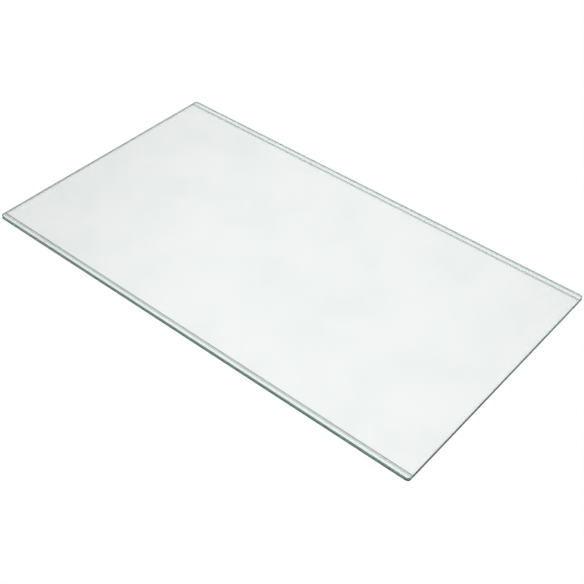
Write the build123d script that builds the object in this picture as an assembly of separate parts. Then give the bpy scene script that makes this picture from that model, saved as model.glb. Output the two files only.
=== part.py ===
from build123d import *

import os

# Overall size of the pane, in millimetres.
LENGTH = 475.0
DEPTH = 268.0
THICKNESS = 4.0

# Plan radius of the four corners.
CORNER_RADIUS = 3.0

# Width of the 45 degree seam ground on every edge of the two large faces.
ARRIS = 0.2

# Locating groove in the underside along each long edge, cut by a round-nosed wheel.
GROOVE_INSET = 5.5
GROOVE_RADIUS = 1.3
GROOVE_DEPTH = 0.8


def blank():
    """The cut pane with its corners rounded in plan, its underside on Z = 0."""
    pane = extrude(RectangleRounded(LENGTH, DEPTH, CORNER_RADIUS), amount=THICKNESS)
    return pane


def seam(pane):
    """The pane with its sharp edges taken off above and below, all the way round."""
    by_height = pane.edges().group_by(Axis.Z)
    return chamfer(by_height[0] + by_height[-1], length=ARRIS)


def groove(side):
    """The round-nosed wheel's path under one long edge, running out through both ends."""
    centre = (0, side * (DEPTH / 2 - GROOVE_INSET), GROOVE_DEPTH - GROOVE_RADIUS)
    return Pos(*centre) * Rot(0, 90, 0) * Cylinder(GROOVE_RADIUS, 2 * LENGTH)


glass_panel = seam(blank()) - groove(-1) - groove(1)

os.makedirs("parts", exist_ok=True)
export_step(glass_panel, "parts/glass_panel.step")
print("glass_panel volume", round(glass_panel.volume, 1), "size", glass_panel.bounding_box().size)
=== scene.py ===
import math

import bmesh
import bpy
from mathutils import Matrix, Vector


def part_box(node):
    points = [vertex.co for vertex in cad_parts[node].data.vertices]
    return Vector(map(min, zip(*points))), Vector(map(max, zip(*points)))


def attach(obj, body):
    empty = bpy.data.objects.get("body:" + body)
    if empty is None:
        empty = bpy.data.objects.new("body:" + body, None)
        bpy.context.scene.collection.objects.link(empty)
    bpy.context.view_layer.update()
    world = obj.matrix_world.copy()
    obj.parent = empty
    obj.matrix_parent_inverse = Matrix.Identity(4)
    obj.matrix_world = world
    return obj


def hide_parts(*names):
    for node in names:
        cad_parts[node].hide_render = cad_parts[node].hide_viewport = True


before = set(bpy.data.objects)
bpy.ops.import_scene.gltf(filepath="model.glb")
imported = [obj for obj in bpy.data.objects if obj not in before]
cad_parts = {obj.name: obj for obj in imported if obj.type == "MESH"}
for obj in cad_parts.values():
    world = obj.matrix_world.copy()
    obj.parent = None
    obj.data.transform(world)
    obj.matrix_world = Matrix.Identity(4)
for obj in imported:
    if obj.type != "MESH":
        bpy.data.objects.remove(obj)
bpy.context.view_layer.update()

MM = 0.001

# ---------------------------------------------------------------------------
# The pane's form, in millimetres, as the solid has it.
# ---------------------------------------------------------------------------

pane_low, pane_high = (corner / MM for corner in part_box("glass_panel"))
HALF_LENGTH = pane_high.x
HALF_DEPTH = pane_high.y
THICKNESS = pane_high.z
CORNER_RADIUS = 3.0
ARRIS = 0.2
GROOVE_INSET = 5.5
GROOVE_RADIUS = 1.3
GROOVE_DEPTH = 0.8

# How finely the curves are drawn: one corner, one groove, and a groove's lips within the arris.
CORNER_STEPS = 14
GROOVE_STEPS = 28
LIP_STEPS = 3
CREASE_ANGLE = 25.0

# How far each surface is ground: 0 is polished, 1 is the satin of the edge wheel.
POLISHED = 0.0
EDGE_FINISH = 1.0
ARRIS_FINISH = 0.73
# The grooves are polished after the wheel, which leaves a haze.
GROOVE_HAZE = 0.4


def outline(inset, z):
    """One level of the pane's rim, anticlockwise from above, as four lists of corner points."""
    corners = []
    for quarter, (along, across) in enumerate(((1, -1), (1, 1), (-1, 1), (-1, -1))):
        centre_x = along * (HALF_LENGTH - CORNER_RADIUS)
        centre_y = across * (HALF_DEPTH - CORNER_RADIUS)
        radius = CORNER_RADIUS - inset
        points = []
        for step in range(CORNER_STEPS + 1):
            angle = math.radians(90 * (quarter - 1 + step / CORNER_STEPS))
            x = centre_x + radius * math.cos(angle)
            y = centre_y + radius * math.sin(angle)
            points.append((x, y, z))
        corners.append(points)
    return corners


def groove_section():
    """A groove's round section as (offset across, height), with a point at the top of the arris."""
    drop = GROOVE_DEPTH - GROOVE_RADIUS
    mouth = math.acos(-drop / GROOVE_RADIUS)
    shoulder = math.acos((ARRIS - drop) / GROOVE_RADIUS)
    lip = (mouth - shoulder) / LIP_STEPS
    turns = [-mouth + lip * step for step in range(LIP_STEPS)]
    turns += [-shoulder + 2 * shoulder * step / GROOVE_STEPS for step in range(GROOVE_STEPS)]
    turns += [shoulder + lip * step for step in range(LIP_STEPS + 1)]
    return [
        (GROOVE_RADIUS * math.sin(turn), max(0.0, drop + GROOVE_RADIUS * math.cos(turn)))
        for turn in turns
    ]


def build_pane():
    """The whole pane as one closed mesh; its faces carry their finish as "ground" and "haze"."""
    form = bmesh.new()
    form.faces.layers.float.new("ground")
    haze = form.faces.layers.float.new("haze")
    ground = form.faces.layers.float["ground"]

    def points(rows):
        return [[form.verts.new(Vector(p) * MM) for p in row] for row in rows]

    def face(verts, finish, wheel_haze=0.0):
        made = form.faces.new(verts)
        made[ground] = finish
        made[haze] = wheel_haze

    top = points(outline(ARRIS, THICKNESS))
    top_rim = points(outline(0, THICKNESS - ARRIS))
    low_rim = points(outline(0, ARRIS))
    low = points(outline(ARRIS, 0))

    # Two grooves, front and back, each a row of points at its left end and one at its right end.
    grooves = []
    for side in (-1, 1):
        middle = side * (HALF_DEPTH - GROOVE_INSET)
        ends = [
            [
                (end * (HALF_LENGTH - ARRIS + min(z, ARRIS)), middle + across, z)
                for across, z in groove_section()
            ]
            for end in (-1, 1)
        ]
        left, right = points(ends)
        grooves.append((left, right))
        for i in range(len(left) - 1):
            face((left[i], left[i + 1], right[i + 1], right[i]), POLISHED, GROOVE_HAZE)

    face([v for corner in top for v in corner], POLISHED)

    # The rim's bands: round each corner, and along the two long sides.
    bands = (
        (top, top_rim, ARRIS_FINISH),
        (top_rim, low_rim, EDGE_FINISH),
        (low_rim, low, ARRIS_FINISH),
    )
    for upper, lower, finish in bands:
        for above, below in zip(upper, lower):
            for i in range(CORNER_STEPS):
                face((above[i], below[i], below[i + 1], above[i + 1]), finish)
        for here, onward in ((1, 2), (3, 0)):
            face((upper[here][-1], lower[here][-1], lower[onward][0], upper[onward][0]), finish)
    # The upper arris over the two short sides.
    for here, onward in ((0, 1), (2, 3)):
        face((top[here][-1], top_rim[here][-1], top_rim[onward][0], top[onward][0]), ARRIS_FINISH)

    # The two short sides, notched where the grooves run out.
    lip_in, lip_out = LIP_STEPS, LIP_STEPS + GROOVE_STEPS
    arch = slice(lip_in, lip_out + 1)
    for here, onward, end in ((0, 1, 1), (2, 3, 0)):
        first, second = (groove[end] for groove in grooves)
        if end == 0:
            first, second = second[::-1], first[::-1]
        notched = [low_rim[here][-1], *first[arch], *second[arch], low_rim[onward][0]]
        face([*notched, top_rim[onward][0], top_rim[here][-1]], EDGE_FINISH)
        face([low_rim[here][-1], low[here][-1], *first[:lip_in + 1]], ARRIS_FINISH)
        face([*first[lip_out:], *second[:lip_in + 1]], ARRIS_FINISH)
        face([*second[lip_out:], low[onward][0], low_rim[onward][0]], ARRIS_FINISH)

    # The underside: a strip outside each groove and the field between them.
    (front_left, front_right), (back_left, back_right) = grooves
    face([*low[3], *low[0], front_right[0], front_left[0]], POLISHED)
    face([*low[1], *low[2], back_left[-1], back_right[-1]], POLISHED)
    face([front_left[-1], front_right[-1], back_right[0], back_left[0]], POLISHED)

    bmesh.ops.recalc_face_normals(form, faces=form.faces)
    mesh = bpy.data.meshes.new("glass_pane")
    form.to_mesh(mesh)
    form.free()
    mesh.shade_smooth()
    mesh.set_sharp_from_angle(angle=math.radians(CREASE_ANGLE))
    pane = bpy.data.objects.new("glass_pane", mesh)
    bpy.context.scene.collection.objects.link(pane)
    return pane


# ---------------------------------------------------------------------------
# Materials.
# ---------------------------------------------------------------------------


def linear(hex_colour):
    """An sRGB hex colour as linear RGBA."""
    channels = [int(hex_colour[i:i + 2], 16) / 255 for i in (1, 3, 5)]
    return (*[c / 12.92 if c <= 0.04045 else ((c + 0.055) / 1.055) ** 2.4 for c in channels], 1.0)


def add_node(tree, kind, inputs=None, **settings):
    """Adds one node, sets its options, and gives its inputs a value or another node's output."""
    node = tree.nodes.new(kind)
    for name, value in settings.items():
        setattr(node, name, value)
    for socket, value in (inputs or {}).items():
        if isinstance(value, bpy.types.NodeSocket):
            tree.links.new(value, node.inputs[socket])
        else:
            node.inputs[socket].default_value = value
    return node


def new_tree(owner):
    """An empty node tree on a material or the world."""
    owner.use_nodes = True
    owner.node_tree.nodes.clear()
    return owner.node_tree


def per_metre(size_mm):
    """The texture scale whose features are about this big."""
    return 1 / (size_mm * MM)


# Sizes of the patterns on the glass. The real wheel grit is 0.1 to 0.2 mm; it is drawn coarser,
# at 0.6 mm, so that it shows in a picture of this size.
CLOUD_SIZE = 60.0
FINGER_MARK_SPACING = 75.0
GRAIN_SIZE = 0.6
GRAIN_DEPTH = 0.05
GRAIN_STRENGTH = 0.12


def float_glass():
    """Toughened soda-lime float glass with satin ground edges.

    The faces are clear and carry the faint uneven film that wiping leaves. The edges are a grey
    satin in which the green of the glass gathers. The body takes out red first, so a long way
    through it is green.
    """
    material = bpy.data.materials.new("toughened_float_glass_satin_ground_edges")
    tree = new_tree(material)
    place = add_node(tree, "ShaderNodeTexCoord").outputs["Object"]
    ground = add_node(tree, "ShaderNodeAttribute", attribute_name="ground").outputs["Fac"]

    # Wiped film: broken clouds, and finger marks about 8 mm across.
    clouds = add_node(
        tree,
        "ShaderNodeTexNoise",
        {"Vector": place, "Scale": per_metre(CLOUD_SIZE), "Detail": 5.0, "Roughness": 0.62},
    ).outputs[0]
    film = add_node(
        tree,
        "ShaderNodeMapRange",
        {"Value": clouds, "From Min": 0.38, "From Max": 0.7, "To Min": 0.0, "To Max": 0.6},
        interpolation_type="SMOOTHSTEP",
    ).outputs[0]
    from_mark = add_node(
        tree, "ShaderNodeTexVoronoi", {"Vector": place, "Scale": per_metre(FINGER_MARK_SPACING)}
    ).outputs["Distance"]
    marks = add_node(
        tree,
        "ShaderNodeMapRange",
        {"Value": from_mark, "From Min": 0.03, "From Max": 0.085, "To Min": 0.55, "To Max": 0.0},
        interpolation_type="SMOOTHSTEP",
    ).outputs[0]
    soil = add_node(tree, "ShaderNodeMath", {0: film, 1: marks}, operation="ADD").outputs[0]

    # Wheel grain: it roughens the ground faces unevenly and breaks up their sheen.
    grain = add_node(
        tree,
        "ShaderNodeTexNoise",
        {"Vector": place, "Scale": per_metre(GRAIN_SIZE), "Detail": 2.0, "Roughness": 0.6},
    ).outputs[0]
    satin = add_node(
        tree,
        "ShaderNodeMapRange",
        {"Value": grain, "From Min": 0.3, "From Max": 0.7, "To Min": 0.43, "To Max": 0.55},
    ).outputs[0]

    face_colour = add_node(
        tree,
        "ShaderNodeMix",
        {"Factor": soil, 6: linear("#ffffff"), 7: linear("#fafbfa")},
        data_type="RGBA",
    ).outputs[2]
    colour = add_node(
        tree,
        "ShaderNodeMix",
        {"Factor": ground, 6: face_colour, 7: linear("#80afa5")},
        data_type="RGBA",
    ).outputs[2]
    haze = add_node(tree, "ShaderNodeAttribute", attribute_name="haze").outputs["Fac"]
    roughness = add_node(tree, "ShaderNodeMix", {"Factor": ground, 2: haze, 3: satin}).outputs[0]
    grain_strength = add_node(
        tree, "ShaderNodeMath", {0: ground, 1: GRAIN_STRENGTH}, operation="MULTIPLY"
    ).outputs[0]
    wheel_marks = add_node(
        tree,
        "ShaderNodeBump",
        {"Height": grain, "Strength": grain_strength, "Distance": GRAIN_DEPTH * MM},
    ).outputs[0]
    glass = add_node(
        tree,
        "ShaderNodeBsdfPrincipled",
        {
            "Base Color": colour,
            "Roughness": roughness,
            "Normal": wheel_marks,
            "IOR": 1.52,
            "Transmission Weight": 1.0,
        },
    )
    tint = add_node(
        tree, "ShaderNodeVolumeAbsorption", {"Color": linear("#8fceb8"), "Density": 10.0}
    )
    add_node(
        tree,
        "ShaderNodeOutputMaterial",
        {"Surface": glass.outputs["BSDF"], "Volume": tint.outputs["Volume"]},
    )
    return material


# ---------------------------------------------------------------------------
# Stage: floor, light and camera.
# ---------------------------------------------------------------------------

# The table top, just clear of the pane, in millimetres.
FLOOR_GAP = 0.27
FLOOR_HALF = 3000.0

# The room's light: dim at the sides, bright overhead between these two heights of a ray (1 is
# straight up), and a share brighter or dimmer toward the right and the back.
HORIZON_LEVEL = 0.52
OVERHEAD_LEVEL = 1.783
OVERHEAD_FROM = 0.49
OVERHEAD_FULL = 0.95
TO_THE_RIGHT = 0.035
TO_THE_BACK = -0.4
# The softbox behind the pane: the way to it and its half width, in degrees.
KEY_TURN = 125.6
KEY_RISE = 42.5
KEY_SPREAD = 16.5
KEY_LEVEL = 1.31
# The white backdrop fills the view up to the first height and is gone at the second.
BACKDROP_FULL = 0.3
BACKDROP_END = 0.5

# The viewpoint: angles in degrees, place in millimetres, lens and sensor in millimetres.
CAMERA_TURN = 38.7456
CAMERA_RISE = 42.5160
CAMERA_ROLL = 1.8413
CAMERA_PLACE = (471.3997, -571.4488, 636.0805)
CAMERA_LENS = 65.2417
CAMERA_SENSOR = 36.0
CAMERA_NEAREST = 0.01

LIGHT_BOUNCES = 96


def mirror_images(tree, rays):
    """1 for a ray that a surface mirrors, 0 for one that goes through it."""
    return add_node(
        tree,
        "ShaderNodeMath",
        {0: rays.outputs["Is Glossy Ray"], 1: rays.outputs["Is Reflection Ray"]},
        operation="MULTIPLY",
    ).outputs[0]


def build_floor():
    """A matt white table top just under the pane."""
    mesh = bpy.data.meshes.new("floor")
    half, top = FLOOR_HALF * MM, -FLOOR_GAP * MM
    corners = [(-half, -half, top), (half, -half, top), (half, half, top), (-half, half, top)]
    mesh.from_pydata(corners, [], [(0, 1, 2, 3)])
    floor = bpy.data.objects.new("floor", mesh)
    bpy.context.scene.collection.objects.link(floor)
    material = bpy.data.materials.new("matt_white_table")
    tree = new_tree(material)
    rays = add_node(tree, "ShaderNodeLightPath")
    paint = add_node(tree, "ShaderNodeBsdfDiffuse", {"Color": linear("#f8f8f8")})
    white = add_node(tree, "ShaderNodeEmission", {"Strength": 1.0})
    # Seen straight or in a mirror image the table is plain white. Through the glass it is seen as
    # it is lit, with the pane's own soft shadow, which draws the edges and the grooves.
    seen = add_node(
        tree,
        "ShaderNodeMath",
        {0: rays.outputs["Is Camera Ray"], 1: mirror_images(tree, rays)},
        operation="MAXIMUM",
    ).outputs[0]
    mixed = add_node(
        tree, "ShaderNodeMixShader", {0: seen, 1: paint.outputs[0], 2: white.outputs[0]}
    )
    add_node(tree, "ShaderNodeOutputMaterial", {"Surface": mixed.outputs[0]})
    mesh.materials.append(material)


def build_light():
    """A plain room, bright overhead, with one softbox that the pane mirrors to the camera."""
    world = bpy.data.worlds.new("studio")
    bpy.context.scene.world = world
    tree = new_tree(world)
    rays = add_node(tree, "ShaderNodeLightPath")
    ray = add_node(tree, "ShaderNodeTexCoord").outputs["Generated"]
    way = add_node(tree, "ShaderNodeSeparateXYZ", {0: ray})
    overhead = add_node(
        tree,
        "ShaderNodeMapRange",
        {
            "Value": way.outputs["Z"],
            "From Min": OVERHEAD_FROM,
            "From Max": OVERHEAD_FULL,
            "To Min": HORIZON_LEVEL,
            "To Max": OVERHEAD_LEVEL,
        },
        interpolation_type="SMOOTHSTEP",
    ).outputs[0]
    turn, rise = math.radians(KEY_TURN), math.radians(KEY_RISE)
    key_way = (math.cos(turn) * math.cos(rise), math.sin(turn) * math.cos(rise), math.sin(rise))
    toward_key = add_node(
        tree, "ShaderNodeVectorMath", {0: ray, 1: key_way}, operation="DOT_PRODUCT"
    ).outputs["Value"]
    key = add_node(
        tree,
        "ShaderNodeMapRange",
        {
            "Value": toward_key,
            "From Min": math.cos(math.radians(KEY_SPREAD)),
            "From Max": 1.0,
            "To Min": 0.0,
            "To Max": KEY_LEVEL,
        },
        interpolation_type="SMOOTHSTEP",
    ).outputs[0]
    lamps = add_node(tree, "ShaderNodeMath", {0: overhead, 1: key}, operation="ADD").outputs[0]
    sideways = add_node(
        tree,
        "ShaderNodeMath",
        {0: way.outputs["X"], 1: TO_THE_RIGHT, 2: 1.0},
        operation="MULTIPLY_ADD",
    ).outputs[0]
    balance = add_node(
        tree,
        "ShaderNodeMath",
        {0: way.outputs["Y"], 1: TO_THE_BACK, 2: sideways},
        operation="MULTIPLY_ADD",
    ).outputs[0]
    level = add_node(
        tree, "ShaderNodeMath", {0: lamps, 1: balance}, operation="MULTIPLY"
    ).outputs[0]
    room = add_node(tree, "ShaderNodeBackground", {"Strength": level})
    white = add_node(tree, "ShaderNodeBackground", {"Color": linear("#ffffff"), "Strength": 1.0})
    # The white backdrop: all round for the camera, and low down where the pane mirrors it.
    low_down = add_node(
        tree,
        "ShaderNodeMapRange",
        {
            "Value": way.outputs["Z"],
            "From Min": BACKDROP_FULL,
            "From Max": BACKDROP_END,
            "To Min": 1.0,
            "To Max": 0.0,
        },
        interpolation_type="SMOOTHSTEP",
    ).outputs[0]
    mirrored = add_node(
        tree, "ShaderNodeMath", {0: mirror_images(tree, rays), 1: low_down}, operation="MULTIPLY"
    ).outputs[0]
    backdrop = add_node(
        tree, "ShaderNodeMath", {0: rays.outputs["Is Camera Ray"], 1: mirrored}, operation="MAXIMUM"
    ).outputs[0]
    mixed = add_node(
        tree, "ShaderNodeMixShader", {0: backdrop, 1: room.outputs[0], 2: white.outputs[0]}
    )
    add_node(tree, "ShaderNodeOutputWorld", {"Surface": mixed.outputs[0]})


def build_camera():
    """The photograph's viewpoint: its angles, its distance and its lens."""
    turn, rise, roll = (math.radians(a) for a in (CAMERA_TURN, CAMERA_RISE, CAMERA_ROLL))
    level = Vector((math.cos(turn), math.sin(turn), 0))
    outward = Vector((math.sin(turn), -math.cos(turn), 0))
    back = outward * math.cos(rise) + Vector((0, 0, math.sin(rise)))
    upright = back.cross(level)
    right = level * math.cos(roll) + upright * math.sin(roll)
    up = upright * math.cos(roll) - level * math.sin(roll)
    data = bpy.data.cameras.new("camera")
    data.sensor_width = CAMERA_SENSOR
    data.lens = CAMERA_LENS
    data.clip_start = CAMERA_NEAREST
    camera = bpy.data.objects.new("camera", data)
    bpy.context.scene.collection.objects.link(camera)
    camera.matrix_world = Matrix((right, up, back)).transposed().to_4x4()
    camera.location = Vector(CAMERA_PLACE) * MM
    bpy.context.scene.camera = camera


pane = build_pane()
pane.data.materials.append(float_glass())
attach(pane, "root")
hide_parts("glass_panel")

build_floor()
build_light()
build_camera()

scene = bpy.context.scene
scene.view_settings.view_transform = "Standard"
# Light is mirrored many times inside the pane before it leaves at an edge; few bounces would
# blacken the edges, and blurred bounces would dim the table under the glass.
scene.cycles.max_bounces = LIGHT_BOUNCES
scene.cycles.glossy_bounces = LIGHT_BOUNCES
scene.cycles.transmission_bounces = LIGHT_BOUNCES
scene.cycles.blur_glossy = 0.0
